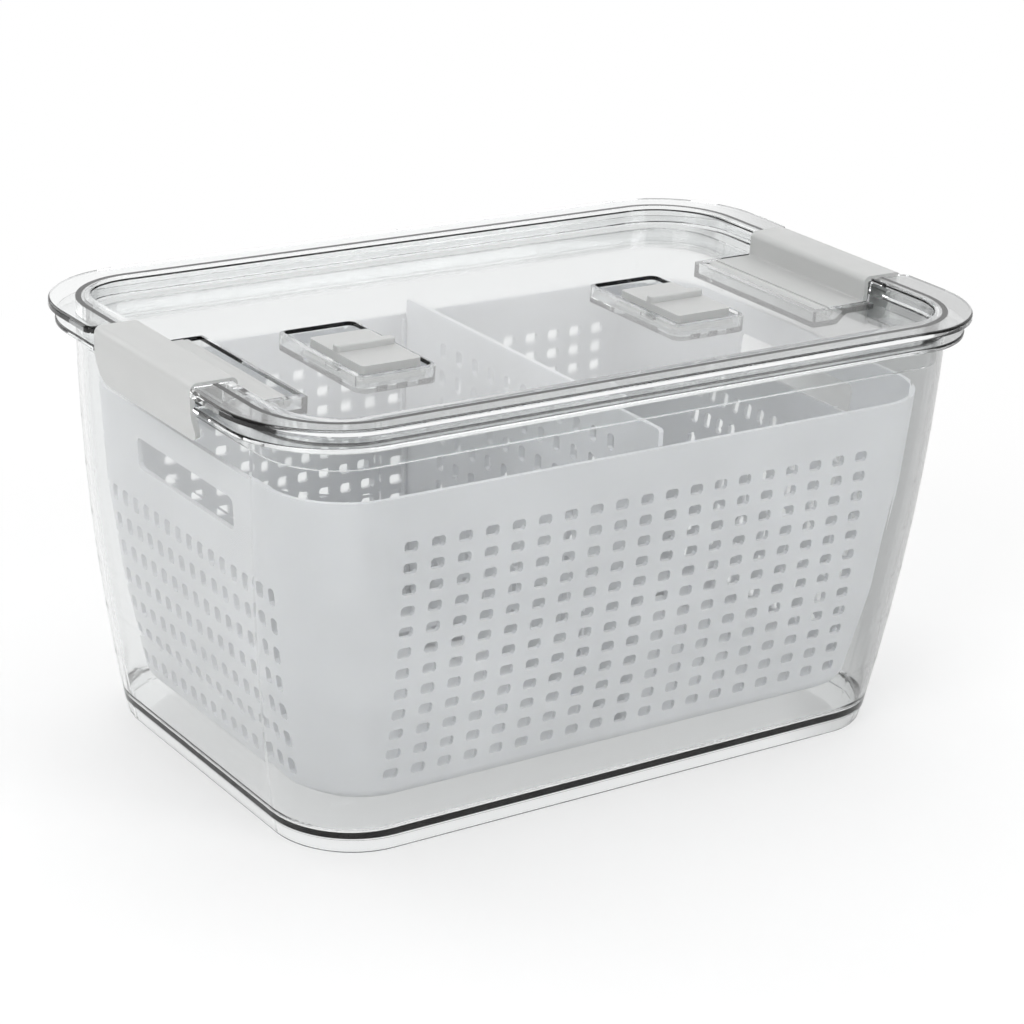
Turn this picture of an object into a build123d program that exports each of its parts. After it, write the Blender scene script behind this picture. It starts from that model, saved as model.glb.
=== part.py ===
from build123d import *
import os

# Fridge storage bin, millimetres, +Z up. The origin is the centre of the foot's
# underside, +X runs along the long side, and -Y is the front.

# Lid flange, the widest outline of the whole object
lid_length = 320.0
lid_width = 202.1
lid_corner = 41.3
flange_thickness = 2.5
flange_edge_round = 1.0

# Bin walls: rim and floor half sizes, with a slight outward bow between them
overhang_end = 10.7
overhang_side = 7.85
bin_corner = 32.0
wall = 2.2
draft_end = 16.5
draft_side = 7.6
bow_end = 3.35
bow_side = 1.5
body_top = 160.0
bin_bands = 8
lip_height = 4.4
floor_thickness = 1.8
floor_round = 4.0

# Foot ring under the bin's floor
foot_height = 5.8
foot_wall = 2.0
foot_step = 0.4
foot_draft = 1.2
foot_edge_round = 0.6

# Bin rim: a flat flange round the wall, below the lip that carries the lid
rim_inset = 2.5
rim_drop = 4.8
rim_thickness = 2.0
rim_edge_round = 0.7
rim_ledge_at_latch = 2.7

# Lid pan: a recess with a plug wall that reaches down inside the bin
plug_gap_end = 1.9
plug_gap_side = 0.6
plug_corner = 27.0
plug_wall_end = 2.6
plug_wall_side = 1.6
plug_depth = 15.4
pan_depth = 9.1
pan_floor = 2.0
pan_draft = 1.5
skirt_wall = 1.8

# Vent wells in the lid pan, and the sliders in them
vent_left_x = -70.4
vent_right_x = 70.0
vent_width = 30.0
vent_length = 56.6
vent_depth = 6.2
vent_corner = 2.5
vent_wall = 1.8
vent_slot_width = 5.0
vent_slot_length = 10.0
vent_slot_pitch = 8.5
vent_slot_count = 3
vent_slot_corner = 1.5
slider_length = 37.5
slider_front_gap = 3.8
slider_side_gap = 0.6
slider_base = 1.4
slider_plate_width = 25.0
slider_plate_rise = 6.5
slider_corner = 1.5
slider_edge_round = 0.6
ridge_rise = 2.5
ridge_depth = 4.0
ridge_place = 17.5
lug_reach = 1.6
lug_length = 8.0
lug_thickness = 1.2
lug_place = 15.5
lug_gap = 0.3

# Latches at the two short ends, hinged at the inner edge of their wells
latch_width = 71.6
latch_side_gap = 0.5
latch_thickness = 2.0
latch_corner = 5.0
latch_top_rise = 0.7
latch_foot = 145.8
latch_top_inset = 3.0
latch_outer_round = 1.8
latch_inner_round = 1.6
latch_bend_round = 28.0
latch_bend_height = 157.0
latch_foot_gap = 0.6
latch_tip_height = 1.5
pivot_from_plug = 24.2
pivot_below_pan = 3.0
barrel_radius = 2.6
trunnion_radius = 1.4
trunnion_length = 1.6
running_clearance = 0.05
socket_end_play = 0.2
riser_from_plug = 4.7
riser_slot = 5.0
plate_below_pan = 0.2

# Wells that hold the latch plates and their hinges
well_wall = 1.8
well_inner_gap = 3.4
well_plug_wall = 2.0
shelf_gap = 0.6
trough_gap = 0.9
trough_width = 9.8
trough_ramp = 4.7
notch_corner = 4.0

# Basket: it stands free of the rim, on four feet on the bin's floor
basket_rim = 135.1
basket_gap_end = 5.7
basket_gap_side = 4.0
basket_corner = 29.0
basket_wall = 1.8
basket_draft_end = 16.6
basket_draft_side = 9.4
basket_bow_end = 2.5
basket_bow_side = 2.4
basket_bands = 3
basket_floor = 1.8
basket_edge_round = 5.0
basket_foot = 9.2
basket_foot_radius = 4.0
basket_foot_inset_end = 38.5
basket_foot_inset_side = 43.4

# Holes in the basket's long sides, in columns along X and rows along Z
side_columns = 19
side_rows = 12
side_pitch_x = 11.1
side_pitch_z = 8.08
side_hole_width = 5.6
side_hole_height = 4.0
side_bottom_row = 27.4
hole_corner = 0.9

# Holes in the basket's short ends, whose columns draw together downwards
end_columns = 15
end_rows = 7
end_pitch_top = 8.23
end_pitch_bottom = 7.75
end_pitch_z = 11.33
end_hole_width = 4.0
end_hole_height = 6.2
end_bottom_row = 26.0

# Hand holes at the short ends
handle_width = 71.2
handle_height = 12.0
handle_corner = 2.5
handle_centre = 117.3

# Drain slots in the basket's floor
drain_columns = 11
drain_rows = 7
drain_pitch_x = 19.0
drain_pitch_y = 13.5
drain_length = 12.0
drain_width = 4.0

# Divider across the basket, and the ribs that hold it upright
divider_x = 5.5
divider_thickness = 2.0
divider_top = 141.5
divider_gap = 0.5
divider_side_play = 0.3
divider_corner = 1.5
divider_columns = 11
divider_rows = 9
divider_pitch_y = 11.2
divider_pitch_z = 11.33
divider_hole_width = 4.0
divider_hole_height = 6.2
divider_bottom_row = 37.0
guide_thickness = 1.4
guide_reach = 1.6
guide_below_rim = 2.0

# How far a cutting block reaches past what it cuts, and how near counts as at the same place
cut_margin = 1.0
near = 0.1

# Worked out from the sizes above
lid_x = lid_length / 2
lid_y = lid_width / 2
bin_x = lid_x - overhang_end
bin_y = lid_y - overhang_side
lip_top = body_top + lip_height
lid_top = lip_top + flange_thickness
rim_top = lip_top - rim_drop
rim_bottom = rim_top - rim_thickness
rim_x = lid_x - rim_inset
rim_y = lid_y - rim_inset
rim_corner = lid_corner - rim_inset
relief_x = bin_x + rim_ledge_at_latch
floor_top = foot_height + floor_thickness
pan_top = lid_top - pan_depth
pan_bottom = pan_top - pan_floor
plug_x = bin_x - wall - plug_gap_end
plug_y = bin_y - wall - plug_gap_side
plug_bottom = lip_top - plug_depth
pan_x = plug_x - plug_wall_end
pan_y = plug_y - plug_wall_side
pan_corner = plug_corner - plug_wall_end
pivot_x = plug_x - pivot_from_plug
pivot_z = pan_top - pivot_below_pan
riser_x = plug_x - riser_from_plug
plate_middle = pan_top - plate_below_pan - latch_thickness / 2
latch_top_middle = lid_top + latch_top_rise - latch_thickness / 2
latch_outer_x = lid_x - latch_top_inset
latch_foot_x = relief_x + latch_foot_gap + latch_thickness / 2
half_latch = latch_width / 2
half_notch = half_latch + latch_side_gap
well_inner_x = pivot_x - barrel_radius - well_inner_gap
well_outer_x = plug_x - well_plug_wall
shelf_top = plate_middle - latch_thickness / 2 - shelf_gap
trough_top = pivot_z - barrel_radius - trough_gap
vent_floor = pan_top - vent_depth
slider_y0 = -vent_length / 2 + slider_front_gap
slider_top = vent_floor + slider_base + slider_plate_rise
basket_bottom = floor_top + basket_foot
basket_floor_top = basket_bottom + basket_floor


def bowed(t, low, high, bow):
    """Half size at the fraction t of the height: a straight lean plus a shallow parabola."""
    return low + (high - low) * t + 4 * bow * t * (1 - t)


def bin_half(z, axis):
    """Outer half size of the bin's wall at height z along X or Y."""
    t = (z - foot_height) / (body_top - foot_height)
    if axis == "x":
        return bowed(t, bin_x - draft_end, bin_x, bow_end)
    return bowed(t, bin_y - draft_side, bin_y, bow_side)


basket_x = bin_half(basket_rim, "x") - wall - basket_gap_end
basket_y = bin_half(basket_rim, "y") - wall - basket_gap_side


def basket_half(z, axis):
    """Outer half size of the basket's wall at height z along X or Y."""
    t = (z - basket_bottom) / (basket_rim - basket_bottom)
    if axis == "x":
        return bowed(t, basket_x - basket_draft_end, basket_x, basket_bow_end)
    return bowed(t, basket_y - basket_draft_side, basket_y, basket_bow_side)


def bowed_block(half, inset, z_low, z_high, corner, steps, bottom_round):
    """Closed block whose sections follow half(z, axis) less an inset, in steps straight bands."""
    with BuildPart() as block:
        for i in range(steps + 1):
            z = z_low + (z_high - z_low) * i / steps
            with BuildSketch(Plane.XY.offset(z)):
                RectangleRounded(2 * (half(z, "x") - inset), 2 * (half(z, "y") - inset), corner)
        loft(ruled=True)
        if bottom_round > 0:
            fillet(block.edges().group_by(Axis.Z)[0], radius=bottom_round)
    return block.part


def rounded_slab(half_x, half_y, corner, z_low, z_high, draft=0.0):
    """Rounded rectangle from z_low up to z_high, drawn in by draft at z_low."""
    with BuildPart() as slab:
        with BuildSketch(Plane.XY.offset(z_low)) as low:
            RectangleRounded(2 * (half_x - draft), 2 * (half_y - draft), corner - draft)
        if draft == 0:
            extrude(low.sketch, amount=z_high - z_low)
        else:
            with BuildSketch(Plane.XY.offset(z_high)):
                RectangleRounded(2 * half_x, 2 * half_y, corner)
            loft(ruled=True)
    return slab.part


def hole(width, height):
    """Oblong hole with small corner chamfers, for the current sketch locations."""
    a = width / 2
    b = height / 2
    c = hole_corner
    Polygon(
        (a, c - b), (a, b - c), (a - c, b), (c - a, b), (-a, b - c), (-a, c - b), (c - a, -b), (a - c, -b),
        align=None,
    )


def side_block(side, x_low, x_high, half_y, z_low, z_high):
    """Plain block at one end of the object; side is -1 for left and 1 for right."""
    with BuildPart() as block:
        with BuildSketch(Plane.XY.offset(z_low)):
            with Locations((side * (x_low + x_high) / 2, 0)):
                Rectangle(x_high - x_low, 2 * half_y)
        extrude(amount=z_high - z_low)
    return block.part


def well_profile(side, grow):
    """Section of a latch well in XZ: a deep trough for the hinge and a shelf for the plate."""
    ramp_x = well_inner_x + trough_width
    with BuildPart() as well:
        with BuildSketch(Plane.XZ) as section:
            with BuildLine():
                Polyline(
                    (side * (well_inner_x - grow), trough_top - grow),
                    (side * ramp_x, trough_top - grow),
                    (side * (ramp_x + trough_ramp), shelf_top - grow),
                    (side * well_outer_x, shelf_top - grow),
                    (side * well_outer_x, pan_top),
                    (side * (well_inner_x - grow), pan_top),
                    close=True,
                )
            make_face()
        extrude(section.sketch, amount=half_notch + grow, both=True)
    return well.part


# Bin: one clear moulding of walls, floor, foot ring, lip and rim flange
bin_outer = bowed_block(bin_half, 0.0, foot_height, body_top, bin_corner, bin_bands, 0.0)
bin_cavity = bowed_block(bin_half, wall, floor_top, body_top, bin_corner - wall, bin_bands, floor_round)
foot_x = bin_half(foot_height, "x") - foot_step
foot_y = bin_half(foot_height, "y") - foot_step
foot_corner = bin_corner - foot_step
foot_outer = rounded_slab(foot_x, foot_y, foot_corner, 0.0, foot_height, foot_draft)
foot_inner = rounded_slab(
    foot_x - foot_wall, foot_y - foot_wall, foot_corner - foot_wall, 0.0, foot_height, foot_draft
)
lip_inner_x = bin_x - wall
lip_inner_y = bin_y - wall
with BuildPart() as bin_shell:
    add(rounded_slab(rim_x, rim_y, rim_corner, rim_bottom, rim_top))
    fillet(bin_shell.edges().filter_by(Plane.XY), radius=rim_edge_round)
    for end in (-1, 1):
        relief = side_block(
            end, relief_x, lid_x, half_notch + cut_margin, rim_bottom - cut_margin, rim_top + cut_margin
        )
        add(relief, mode=Mode.SUBTRACT)
    add(bin_outer)
    add(rounded_slab(bin_x, bin_y, bin_corner, body_top, lip_top))
    add(bin_cavity, mode=Mode.SUBTRACT)
    add(rounded_slab(lip_inner_x, lip_inner_y, bin_corner - wall, body_top, lip_top), mode=Mode.SUBTRACT)
    add(foot_outer)
    add(foot_inner, mode=Mode.SUBTRACT)
    sole = bin_shell.edges().group_by(Axis.Z)[0]
    fillet(sole, radius=foot_edge_round)
bin_shell.part.label = "bin"


# Basket: a perforated tub with hand holes, feet and ribs for the divider
basket_outer = bowed_block(
    basket_half, 0.0, basket_bottom, basket_rim, basket_corner, basket_bands, basket_edge_round
)
basket_cavity = bowed_block(
    basket_half, basket_wall, basket_floor_top, basket_rim, basket_corner - basket_wall, basket_bands,
    basket_edge_round - basket_wall,
)
guide_core = bowed_block(
    basket_half, basket_wall + guide_reach, basket_floor_top, basket_rim, basket_corner - basket_wall,
    basket_bands, 0.0,
)
guide_offset = divider_thickness / 2 + divider_side_play + guide_thickness / 2
with BuildPart() as guides:
    with BuildSketch(Plane.XY.offset(basket_floor_top)):
        with Locations((divider_x - guide_offset, 0), (divider_x + guide_offset, 0)):
            Rectangle(guide_thickness, 2 * basket_y)
    extrude(amount=basket_rim - basket_floor_top - guide_below_rim)
    add(guide_core, mode=Mode.SUBTRACT)
    add(basket_cavity, mode=Mode.INTERSECT)

side_middle_row = side_bottom_row + side_pitch_z * (side_rows - 1) / 2
side_plane = Plane(origin=(0, lid_y, side_middle_row), x_dir=(1, 0, 0), z_dir=(0, -1, 0))
foot_place_x = basket_half(basket_bottom, "x") - basket_foot_inset_end
foot_place_y = basket_half(basket_bottom, "y") - basket_foot_inset_side
with BuildPart() as basket:
    add(basket_outer)
    with BuildSketch(Plane.XY.offset(floor_top)) as basket_feet:
        with GridLocations(2 * foot_place_x, 2 * foot_place_y, 2, 2):
            Circle(basket_foot_radius)
    extrude(basket_feet.sketch, amount=basket_foot + basket_floor / 2)
    add(basket_cavity, mode=Mode.SUBTRACT)
    add(guides.part)
    with BuildSketch(Plane.XY.offset(basket_bottom)) as drain:
        with GridLocations(drain_pitch_x, drain_pitch_y, drain_columns, drain_rows):
            hole(drain_length, drain_width)
    extrude(drain.sketch, amount=basket_floor, mode=Mode.SUBTRACT, clean=False)
    with BuildSketch(Plane.YZ.offset(-lid_x)) as end_holes:
        for row in range(end_rows):
            share = row / (end_rows - 1)
            pitch = end_pitch_bottom + (end_pitch_top - end_pitch_bottom) * share
            with Locations((0, end_bottom_row + row * end_pitch_z)):
                with GridLocations(pitch, end_pitch_z, end_columns, 1):
                    hole(end_hole_width, end_hole_height)
        with Locations((0, handle_centre)):
            RectangleRounded(handle_width, handle_height, handle_corner)
    extrude(end_holes.sketch, amount=lid_length, mode=Mode.SUBTRACT, clean=False)
    with BuildSketch(side_plane) as side_holes:
        with GridLocations(side_pitch_x, side_pitch_z, side_columns, side_rows):
            hole(side_hole_width, side_hole_height)
    extrude(side_holes.sketch, amount=lid_width, mode=Mode.SUBTRACT, clean=False)
basket.part.label = "basket"


# Divider: a flat perforated plate whose sides follow the basket's walls
divider_shoulder = basket_rim
side_inset = basket_wall + divider_gap
band = (divider_shoulder - basket_floor_top) / basket_bands
heights = [basket_floor_top + band * i for i in range(basket_bands + 1)]
divider_edge = [(basket_half(z, "y") - side_inset, z) for z in heights]
divider_plane = Plane.YZ.offset(divider_x - divider_thickness / 2)
with BuildPart() as divider:
    with BuildSketch(divider_plane) as outline:
        with BuildLine():
            Polyline(
                *divider_edge,
                (divider_edge[-1][0], divider_top),
                (-divider_edge[-1][0], divider_top),
                *[(-y, z) for y, z in reversed(divider_edge)],
                close=True,
            )
        make_face()
        fillet(outline.vertices().group_by(Axis.Y)[-1], radius=divider_corner)
        fillet(outline.vertices().group_by(Axis.Y)[0], radius=basket_edge_round)
    extrude(outline.sketch, amount=divider_thickness)
    with BuildSketch(divider_plane) as divider_holes:
        with Locations((0, divider_bottom_row + divider_pitch_z * (divider_rows - 1) / 2)):
            with GridLocations(divider_pitch_y, divider_pitch_z, divider_columns, divider_rows):
                hole(divider_hole_width, divider_hole_height)
    extrude(divider_holes.sketch, amount=divider_thickness, mode=Mode.SUBTRACT, clean=False)
divider.part.label = "divider"


# Lid: flange, sunk pan, plug skirt, two vent wells and two latch wells
with BuildPart() as vent_tub:
    with BuildSketch(Plane.XY.offset(vent_floor - vent_wall)):
        with Locations((vent_left_x, 0), (vent_right_x, 0)):
            RectangleRounded(vent_width + 2 * vent_wall, vent_length + 2 * vent_wall, vent_corner + vent_wall)
    extrude(amount=pan_bottom + pan_floor / 2 - vent_floor + vent_wall)
with BuildPart() as vent_space:
    with BuildSketch(Plane.XY.offset(vent_floor)):
        with Locations((vent_left_x, 0), (vent_right_x, 0)):
            RectangleRounded(vent_width, vent_length, vent_corner)
    extrude(amount=pan_top - vent_floor)
slot_y = slider_y0 + slider_front_gap / 2 + vent_slot_length / 2
lug_y = -vent_length / 2 + lug_place + lug_length / 2
lug_bottom = vent_floor + slider_base + lug_gap
with BuildPart() as lid:
    with BuildSketch(Plane.XY.offset(lip_top)) as flange:
        RectangleRounded(lid_length, lid_width, lid_corner)
        with Locations((-lid_x, 0), (lid_x, 0)):
            Rectangle(2 * (lid_x - well_outer_x), 2 * half_notch, mode=Mode.SUBTRACT)
        mouth = flange.vertices().filter_by(lambda v: abs(v.X) > lid_x - near)
        mouth = mouth.filter_by(lambda v: abs(v.Y) < half_notch + near)
        fillet(mouth, radius=notch_corner)
    extrude(flange.sketch, amount=flange_thickness)
    fillet(lid.edges().group_by(Axis.Z)[-1], radius=flange_edge_round)
    add(rounded_slab(plug_x, plug_y, plug_corner, plug_bottom, lip_top))
    inside_x = plug_x - skirt_wall
    inside_y = plug_y - skirt_wall
    inside = rounded_slab(inside_x, inside_y, plug_corner - skirt_wall, plug_bottom, pan_bottom)
    add(inside, mode=Mode.SUBTRACT)
    add(rounded_slab(pan_x, pan_y, pan_corner, pan_top, lid_top, pan_draft), mode=Mode.SUBTRACT)
    add(vent_tub.part)
    for end in (-1, 1):
        add(well_profile(end, well_wall))
    for end in (-1, 1):
        add(well_profile(end, 0.0), mode=Mode.SUBTRACT)
        slot = side_block(end, riser_x - riser_slot, well_outer_x, half_notch, shelf_top, lid_top)
        add(slot, mode=Mode.SUBTRACT)
        with BuildSketch(Plane.XZ) as socket:
            with Locations((end * pivot_x, pivot_z)):
                Circle(trunnion_radius + running_clearance)
        socket_reach = half_latch + trunnion_length + socket_end_play
        extrude(socket.sketch, amount=socket_reach, both=True, mode=Mode.SUBTRACT)
    add(vent_space.part, mode=Mode.SUBTRACT)
    with BuildSketch(Plane.XY.offset(vent_floor - vent_wall)) as vent_slots:
        for x in (vent_left_x, vent_right_x):
            with Locations((x, slot_y)):
                with GridLocations(vent_slot_pitch, vent_slot_length, vent_slot_count, 1):
                    RectangleRounded(vent_slot_width, vent_slot_length, vent_slot_corner)
    extrude(vent_slots.sketch, amount=vent_wall, mode=Mode.SUBTRACT)
    with BuildSketch(Plane.XY.offset(lug_bottom)) as lugs:
        for x in (vent_left_x, vent_right_x):
            for s in (-1, 1):
                with Locations((x + s * (vent_width - lug_reach) / 2, lug_y)):
                    Rectangle(lug_reach, lug_length)
    extrude(lugs.sketch, amount=lug_thickness)
lid.part.label = "lid"


def make_slider(x):
    """Vent slider: a wide base under the lugs, a narrower plate and a finger ridge across it."""
    centre_y = slider_y0 + slider_length / 2
    ridge_y = slider_y0 + ridge_place + ridge_depth / 2
    base_width = vent_width - 2 * slider_side_gap
    with BuildPart() as slider:
        with BuildSketch(Plane.XY.offset(vent_floor)):
            with Locations((x, centre_y)):
                RectangleRounded(base_width, slider_length, slider_corner)
        extrude(amount=slider_base)
        with BuildSketch(Plane.XY.offset(vent_floor + slider_base)):
            with Locations((x, centre_y)):
                RectangleRounded(slider_plate_width, slider_length, slider_corner)
        extrude(amount=slider_plate_rise)
        with BuildSketch(Plane.XY.offset(slider_top)):
            with Locations((x, ridge_y)):
                RectangleRounded(slider_plate_width, ridge_depth, slider_corner)
        extrude(amount=ridge_rise)
        fillet(slider.edges().group_by(Axis.Z)[-1], radius=slider_edge_round)
    return slider.part


def make_latch(side):
    """Latch: one bent strip from the hinge barrel, up the pan wall, over the rim and down."""
    with BuildPart() as latch:
        with BuildSketch(Plane.XZ) as strip:
            with BuildLine() as middle:
                FilletPolyline(
                    (side * (pivot_x + barrel_radius / 2), plate_middle),
                    (side * riser_x, plate_middle),
                    (side * riser_x, latch_top_middle),
                    (side * latch_outer_x, latch_top_middle),
                    (side * latch_outer_x, latch_bend_height),
                    (side * latch_foot_x, latch_foot),
                    radius=[latch_inner_round, latch_inner_round, latch_outer_round, latch_bend_round],
                )
            trace(middle.line, line_width=latch_thickness)
            with Locations((side * pivot_x, pivot_z)):
                Circle(barrel_radius)
            with Locations((side * (pivot_x + barrel_radius / 2), (pivot_z + plate_middle) / 2)):
                Rectangle(barrel_radius, latch_thickness)
        extrude(strip.sketch, amount=half_latch, both=True)
        lowest = latch.edges().filter_by(lambda e: e.center().Z < latch_foot + latch_tip_height)
        ends = lowest.filter_by(lambda e: abs(e.center().Y) > half_latch - near)
        ends = ends.filter_by(lambda e: abs(e.length - latch_thickness) < near)
        fillet(ends, radius=latch_corner)
        with BuildSketch(Plane.XZ) as pin:
            with Locations((side * pivot_x, pivot_z)):
                Circle(trunnion_radius)
        extrude(pin.sketch, amount=half_latch + trunnion_length, both=True)
    return latch.part


os.makedirs("parts", exist_ok=True)
export_step(bin_shell.part, "parts/bin.step", write_pcurves=False)
export_step(basket.part, "parts/basket.step", write_pcurves=False)
export_step(divider.part, "parts/divider.step", write_pcurves=False)
export_step(lid.part, "parts/lid.step", write_pcurves=False)
for label, x in (("vent_slider_left", vent_left_x), ("vent_slider_right", vent_right_x)):
    vent_slider = make_slider(x)
    vent_slider.label = label
    export_step(vent_slider, "parts/" + label + ".step", write_pcurves=False)
for label, side in (("latch_left", -1), ("latch_right", 1)):
    end_latch = make_latch(side)
    end_latch.label = label
    export_step(end_latch, "parts/" + label + ".step", write_pcurves=False)
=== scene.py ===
import bpy
from math import cos, radians, sin
from mathutils import Matrix, Vector

# A clear fridge bin with a lid, two end latches and two vent sliders, and a white
# perforated basket with a divider inside. Metres, +Z up, the front side towards -Y.

MM = 0.001

# Camera, fitted to the photograph: place, then turn about Z, tilt and roll in degrees,
# then focal length and sensor width in millimetres
CAMERA_PLACE = (-0.6088, -0.8709, 0.4893)
CAMERA_AZIMUTH = 35.049
CAMERA_ELEVATION = 21.001
CAMERA_ROLL = -2.927
CAMERA_LENS = 103.94
CAMERA_SENSOR = 36
CAMERA_NEAR = 0.01
CAMERA_FAR = 50

# Moulded colours, as sRGB
CLEAR_RESIN = "#f4f5f5"
WHITE_RESIN = "#d9dadc"
WHITE_RESIN_THIN = "#e1e2e4"
FROSTED_RESIN = "#dcdddc"
FLOOR_PAPER = "#fcfcfc"
PURE_WHITE = (1, 1, 1, 1)

# Both resins bend light alike. A clear wall lets this share of a lamp's light pass
RESIN_IOR = 1.49
CLEAR_WALL_PASS = (0.83, 0.835, 0.835, 1)

# Roughness of each finish, from its glossiest patches to its dullest
CLEAR_ROUGHNESS = (0.015, 0.045)
WHITE_ROUGHNESS = (0.32, 0.46)
FROSTED_ROUGHNESS = (0.34, 0.46)

# Noise values between which a patch goes from one extreme to the other
PATCH_EDGE = (0.3, 0.7)
HAZE_EDGE = (0.35, 0.65)

# Paper sheet, a hair below the foot. For the camera it goes from a part of plain white
# near the object to all of it further out
PAPER_HALF = 8.0
PAPER_DROP = 0.1 * MM
PAPER_FADE = (0.25, 0.55)
PAPER_WHITENESS = (0.4, 1.0)

# Painted grey that the clear walls show, in place of a grey card: how far to the camera's right
# it starts and is full, the paper's brightness there, and the share of it in what the clear
# walls show
PAINTED_GREY_EDGE = (0.11, 0.16)
PAINTED_GREY_TONE = (1.0, 0.35)
PAINTED_GREY_SHARE = 0.75

# Studio room: the way to its white wall, then the cosines between which the wall and
# the ceiling brighten, with their brightness
WALL_WAY = (0.52, 0.75, 0.41)
WALL_COSINES = (0.45, 0.9)
WALL_LEVEL = (0.0, 0.85)
CEILING_COSINES = (0.3, 0.9)
CEILING_LEVEL = (0.18, 0.4)

# Soft boxes: place, height of the point that they face, width, height and watts
SOFTBOXES = {
    "softbox_above": ((0.1, 0.1, 1.9), 0.05, 1.8, 1.8, 10.5),
    "softbox_left": ((-2.0, -0.7, 1.2), 0.08, 1.4, 1.6, 24),
    "softbox_right": ((1.1, -2.1, 1.0), 0.08, 1.2, 1.4, 22),
    "softbox_back": ((-0.9, 2.2, 1.1), 0.08, 1.6, 1.4, 12),
}


def srgb(code):
    """Linear colour with full alpha from a hex sRGB code."""
    parts = [int(code[i : i + 2], 16) / 255 for i in (1, 3, 5)]
    linear = [c / 12.92 if c <= 0.04045 else ((c + 0.055) / 1.055) ** 2.4 for c in parts]
    return (*linear, 1.0)


def camera_level():
    """Level direction to the camera's right."""
    azimuth = radians(CAMERA_AZIMUTH)
    return Vector((cos(azimuth), -sin(azimuth), 0))


def new_material(name):
    """Empty node material and its node tree."""
    material = bpy.data.materials.new(name)
    material.use_nodes = True
    material.node_tree.nodes.clear()
    return material, material.node_tree


def put(tree, kind, sockets=None, **settings):
    """Adds one node, sets its properties, then sets or links its input sockets."""
    node = tree.nodes.new(kind)
    for key, value in settings.items():
        setattr(node, key, value)
    for key, value in (sockets or {}).items():
        if isinstance(value, bpy.types.NodeSocket):
            tree.links.new(value, node.inputs[key])
        else:
            node.inputs[key].default_value = value
    return node


def object_coordinates(tree):
    """Coordinates in metres that stay with the piece when it moves."""
    return put(tree, "ShaderNodeTexCoord").outputs["Object"]


def noise(tree, coordinates, size_mm, detail, roughness):
    """Noise whose features are about size_mm across."""
    sockets = {
        "Vector": coordinates,
        "Scale": 1 / (size_mm * MM),
        "Detail": detail,
        "Roughness": roughness,
    }
    return put(tree, "ShaderNodeTexNoise", sockets).outputs["Fac"]


def remap(tree, value, old_range, new_range):
    """Linear change of range, clamped at both ends."""
    sockets = {
        "Value": value,
        "From Min": old_range[0],
        "From Max": old_range[1],
        "To Min": new_range[0],
        "To Max": new_range[1],
    }
    return put(tree, "ShaderNodeMapRange", sockets).outputs["Result"]


def relief(tree, height, strength, depth_mm):
    """Surface normal of a fine relief, depth_mm deep at full strength."""
    sockets = {"Height": height, "Strength": strength, "Distance": depth_mm * MM}
    return put(tree, "ShaderNodeBump", sockets).outputs["Normal"]


def maths(tree, operation, first, second):
    """Result of a sum on two values."""
    return put(tree, "ShaderNodeMath", {0: first, 1: second}, operation=operation).outputs[0]


def along(tree, vector, way):
    """Measure of a vector along a direction."""
    sockets = {0: vector, 1: way}
    return put(tree, "ShaderNodeVectorMath", sockets, operation="DOT_PRODUCT").outputs["Value"]


def emission(tree, strength):
    """White glow."""
    sockets = {"Color": PURE_WHITE, "Strength": strength}
    return put(tree, "ShaderNodeEmission", sockets).outputs[0]


def background(tree, strength):
    """White light from all round."""
    sockets = {"Color": PURE_WHITE, "Strength": strength}
    return put(tree, "ShaderNodeBackground", sockets).outputs[0]


def blend(tree, share, first, second):
    """The first shader, with a share of the second."""
    return put(tree, "ShaderNodeMixShader", {0: share, 1: first, 2: second}).outputs[0]


def moulded_resin(tree, colour, roughness, normal, light_inside):
    """Plastic skin, with the sockets that let light into it."""
    skin = {"Base Color": colour, "Roughness": roughness, "IOR": RESIN_IOR, "Normal": normal}
    return put(tree, "ShaderNodeBsdfPrincipled", {**skin, **light_inside}).outputs["BSDF"]


def clear_styrene_moulding():
    """Clear injection-moulded styrene: polished mould faces with a faint flow ripple."""
    material, tree = new_material("clear_styrene_moulding")
    place = object_coordinates(tree)
    # Handling haze: the polish varies a little over 20 mm patches
    haze = remap(tree, noise(tree, place, 20, 3, 0.5), HAZE_EDGE, CLEAR_ROUGHNESS)
    # Flow ripple of the melt: soft waves 35 mm long, about 0.02 mm high
    normal = relief(tree, noise(tree, place, 35, 1, 0.4), strength=0.25, depth_mm=0.06)
    light_inside = {"Transmission Weight": 1.0}
    resin = moulded_resin(tree, srgb(CLEAR_RESIN), haze, normal, light_inside)
    rays = put(tree, "ShaderNodeLightPath")
    # Lamps light what is inside through the clear walls
    window = put(tree, "ShaderNodeBsdfTransparent", {"Color": CLEAR_WALL_PASS}).outputs[0]
    shader = blend(tree, rays.outputs["Is Shadow Ray"], resin, window)
    put(tree, "ShaderNodeOutputMaterial", {"Surface": shader})
    return material


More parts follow.
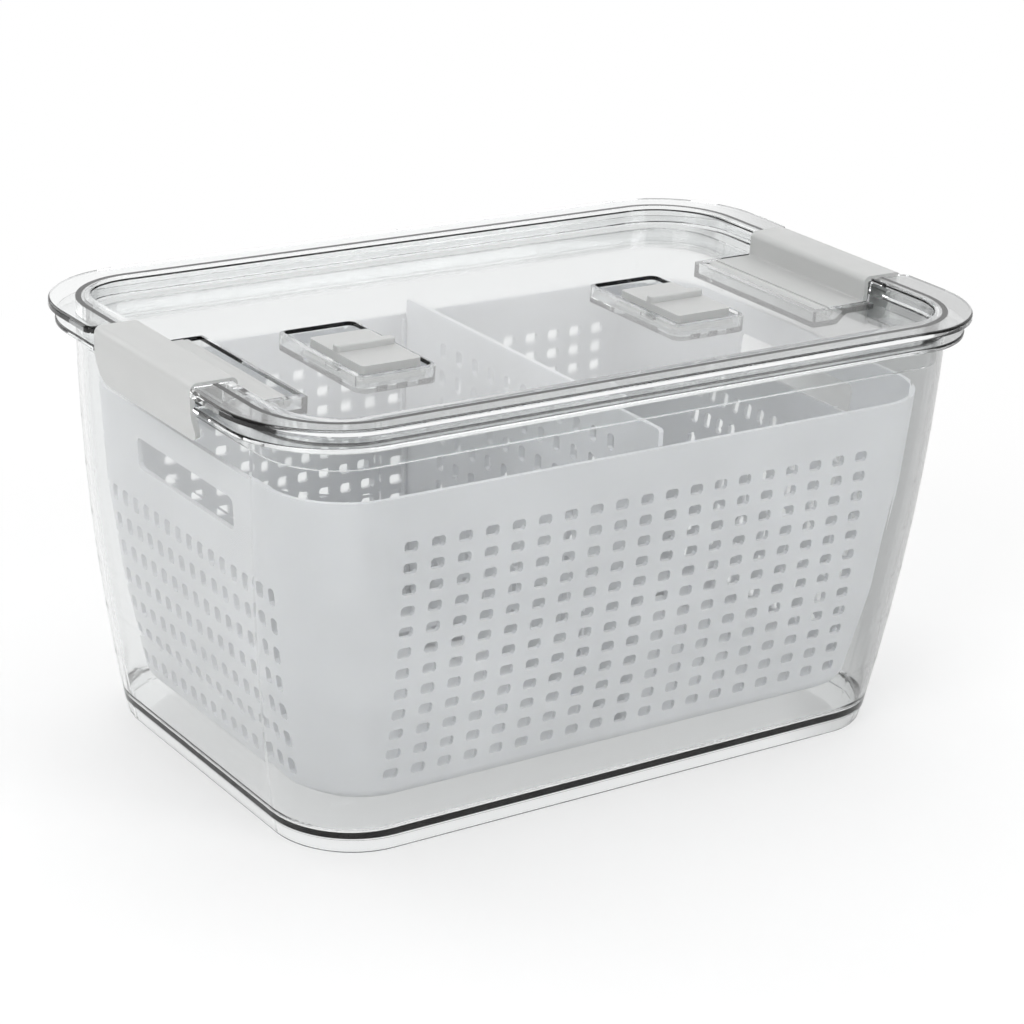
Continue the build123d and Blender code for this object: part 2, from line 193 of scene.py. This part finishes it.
def white_polypropylene_moulding():
    """White moulded polypropylene: waxy satin skin, a little light passing through thin webs."""
    material, tree = new_material("white_polypropylene_moulding")
    place = object_coordinates(tree)
    # Broad flow marks make the white vary by a few levels. Inputs 6 and 7 and output 2
    # are the colours of this node
    flow = remap(tree, noise(tree, place, 45, 3, 0.55), PATCH_EDGE, (0.0, 1.0))
    tones = {"Factor": flow, 6: srgb(WHITE_RESIN), 7: srgb(WHITE_RESIN_THIN)}
    colour = put(tree, "ShaderNodeMix", tones, data_type="RGBA").outputs[2]
    gloss = remap(tree, noise(tree, place, 6, 4, 0.6), PATCH_EDGE, WHITE_ROUGHNESS)
    # Spark-eroded mould texture, 0.4 mm grain
    normal = relief(tree, noise(tree, place, 0.4, 2, 0.5), strength=0.3, depth_mm=0.02)
    light_inside = {
        "Subsurface Weight": 0.15,
        "Subsurface Radius": (0.8, 0.8, 0.9),
        "Subsurface Scale": 1.5 * MM,
    }
    resin = moulded_resin(tree, colour, gloss, normal, light_inside)
    put(tree, "ShaderNodeOutputMaterial", {"Surface": resin})
    return material


def frosted_polypropylene_moulding():
    """Frosted translucent polypropylene: light passes through, spread by the milky resin."""
    material, tree = new_material("frosted_polypropylene_moulding")
    place = object_coordinates(tree)
    cloud = remap(tree, noise(tree, place, 12, 3, 0.5), PATCH_EDGE, FROSTED_ROUGHNESS)
    # Etched mould texture, 0.35 mm grain
    normal = relief(tree, noise(tree, place, 0.35, 2, 0.5), strength=0.3, depth_mm=0.02)
    light_inside = {
        "Transmission Weight": 0.3,
        "Subsurface Weight": 0.2,
        "Subsurface Radius": (0.9, 1.0, 0.95),
        "Subsurface Scale": 2 * MM,
    }
    resin = moulded_resin(tree, srgb(FROSTED_RESIN), cloud, normal, light_inside)
    put(tree, "ShaderNodeOutputMaterial", {"Surface": resin})
    return material


def paper_sweep():
    """White studio paper: shaded near the object, plain white further out, painted grey where
    the clear walls show it.
    """
    material, tree = new_material("white_studio_paper")
    place = object_coordinates(tree)
    rays = put(tree, "ShaderNodeLightPath")
    fibre = relief(tree, noise(tree, place, 0.8, 3, 0.6), strength=0.05, depth_mm=0.05)
    sheet = {"Color": srgb(FLOOR_PAPER), "Normal": fibre}
    paper = put(tree, "ShaderNodeBsdfDiffuse", sheet).outputs[0]
    distance = put(tree, "ShaderNodeVectorMath", {0: place}, operation="LENGTH").outputs["Value"]
    far = remap(tree, distance, PAPER_FADE, PAPER_WHITENESS)
    whitened = maths(tree, "MULTIPLY", rays.outputs["Is Camera Ray"], far)
    sweep = blend(tree, whitened, paper, emission(tree, 1.0))
    # Painted shade: through the clear walls the paper glows pale at the left and grey at the
    # right, to give the walls the grey edges that a grey card would give; no card stands there.
    # Light that the white plastic has scattered doesn't show it
    # Painted grey: the paper's glow dims towards the camera's right
    painted_grey = remap(tree, along(tree, place, camera_level()), PAINTED_GREY_EDGE, PAINTED_GREY_TONE)
    unscattered = maths(tree, "LESS_THAN", rays.outputs["Diffuse Depth"], 0.5)
    seen = maths(tree, "MULTIPLY", rays.outputs["Is Transmission Ray"], unscattered)
    share = maths(tree, "MULTIPLY", seen, PAINTED_GREY_SHARE)
    shader = blend(tree, share, sweep, emission(tree, painted_grey))
    put(tree, "ShaderNodeOutputMaterial", {"Surface": shader})
    return material


def add_floor():
    """Large flat sheet of paper that the bin stands on."""
    low, high = -PAPER_HALF, PAPER_HALF
    mesh = bpy.data.meshes.new("floor")
    corners = [(low, low, 0), (high, low, 0), (high, high, 0), (low, high, 0)]
    mesh.from_pydata(corners, [], [(0, 1, 2, 3)])
    floor = bpy.data.objects.new("floor", mesh)
    bpy.context.scene.collection.objects.link(floor)
    floor.location = (0, 0, -PAPER_DROP)
    mesh.materials.append(paper_sweep())


def add_softbox(name, place, aim_height, width, height, watts):
    """Large soft area light that faces a point on the object's upright axis."""
    lamp = bpy.data.lights.new(name, "AREA")
    lamp.shape = "RECTANGLE"
    lamp.size = width
    lamp.size_y = height
    lamp.energy = watts
    box = bpy.data.objects.new(name, lamp)
    bpy.context.scene.collection.objects.link(box)
    box.location = place
    aim = Vector((0, 0, aim_height)) - Vector(place)
    box.rotation_euler = aim.to_track_quat("-Z", "Y").to_euler()


def light_studio():
    """Pale room light, white where the camera sees it, with four soft boxes."""
    world = bpy.data.worlds.new("studio")
    world.use_nodes = True
    tree = world.node_tree
    tree.nodes.clear()
    rays = put(tree, "ShaderNodeLightPath")
    look = put(tree, "ShaderNodeTexCoord").outputs["Generated"]
    # Dim room at the sides, pale above, and a white wall behind that the lid reflects
    wall = remap(tree, along(tree, look, WALL_WAY), WALL_COSINES, WALL_LEVEL)
    ceiling = remap(tree, along(tree, look, (0, 0, 1)), CEILING_COSINES, CEILING_LEVEL)
    room = background(tree, maths(tree, "ADD", wall, ceiling))
    shader = blend(tree, rays.outputs["Is Camera Ray"], room, background(tree, 1.0))
    put(tree, "ShaderNodeOutputWorld", {"Surface": shader})
    bpy.context.scene.world = world
    for name, (place, aim_height, width, height, watts) in SOFTBOXES.items():
        add_softbox(name, place, aim_height, width, height, watts)


def add_camera():
    """Camera at the photograph's place, with its roll and its long lens."""
    azimuth = radians(CAMERA_AZIMUTH)
    elevation = radians(CAMERA_ELEVATION)
    roll = radians(CAMERA_ROLL)
    ahead = cos(elevation)
    forward = Vector((sin(azimuth) * ahead, cos(azimuth) * ahead, -sin(elevation)))
    level = camera_level()
    down = forward.cross(level)
    right = cos(roll) * level + sin(roll) * down
    image_down = -sin(roll) * level + cos(roll) * down
    turn = Matrix((right, -image_down, -forward)).transposed()
    data = bpy.data.cameras.new("camera")
    data.sensor_width = CAMERA_SENSOR
    data.lens = CAMERA_LENS
    data.clip_start = CAMERA_NEAR
    data.clip_end = CAMERA_FAR
    camera = bpy.data.objects.new("camera", data)
    bpy.context.scene.collection.objects.link(camera)
    camera.matrix_world = Matrix.Translation(CAMERA_PLACE) @ turn.to_4x4()
    bpy.context.scene.camera = camera


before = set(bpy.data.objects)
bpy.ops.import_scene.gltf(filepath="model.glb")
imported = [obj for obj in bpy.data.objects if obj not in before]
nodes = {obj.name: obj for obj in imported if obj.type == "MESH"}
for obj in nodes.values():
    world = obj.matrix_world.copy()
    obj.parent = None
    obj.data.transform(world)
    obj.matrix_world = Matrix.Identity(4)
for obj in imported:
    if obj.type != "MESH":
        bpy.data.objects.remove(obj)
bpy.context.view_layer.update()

clear = clear_styrene_moulding()
white = white_polypropylene_moulding()
frosted = frosted_polypropylene_moulding()
finishes = {
    "bin": clear,
    "lid": clear,
    "basket": white,
    "divider": white,
    "vent_slider_left": frosted,
    "vent_slider_right": frosted,
    "latch_left": frosted,
    "latch_right": frosted,
}
for name, finish in finishes.items():
    mesh = nodes[name].data
    mesh.materials.clear()
    mesh.materials.append(finish)

add_floor()
light_studio()
add_camera()
bpy.context.scene.view_settings.view_transform = "Standard"
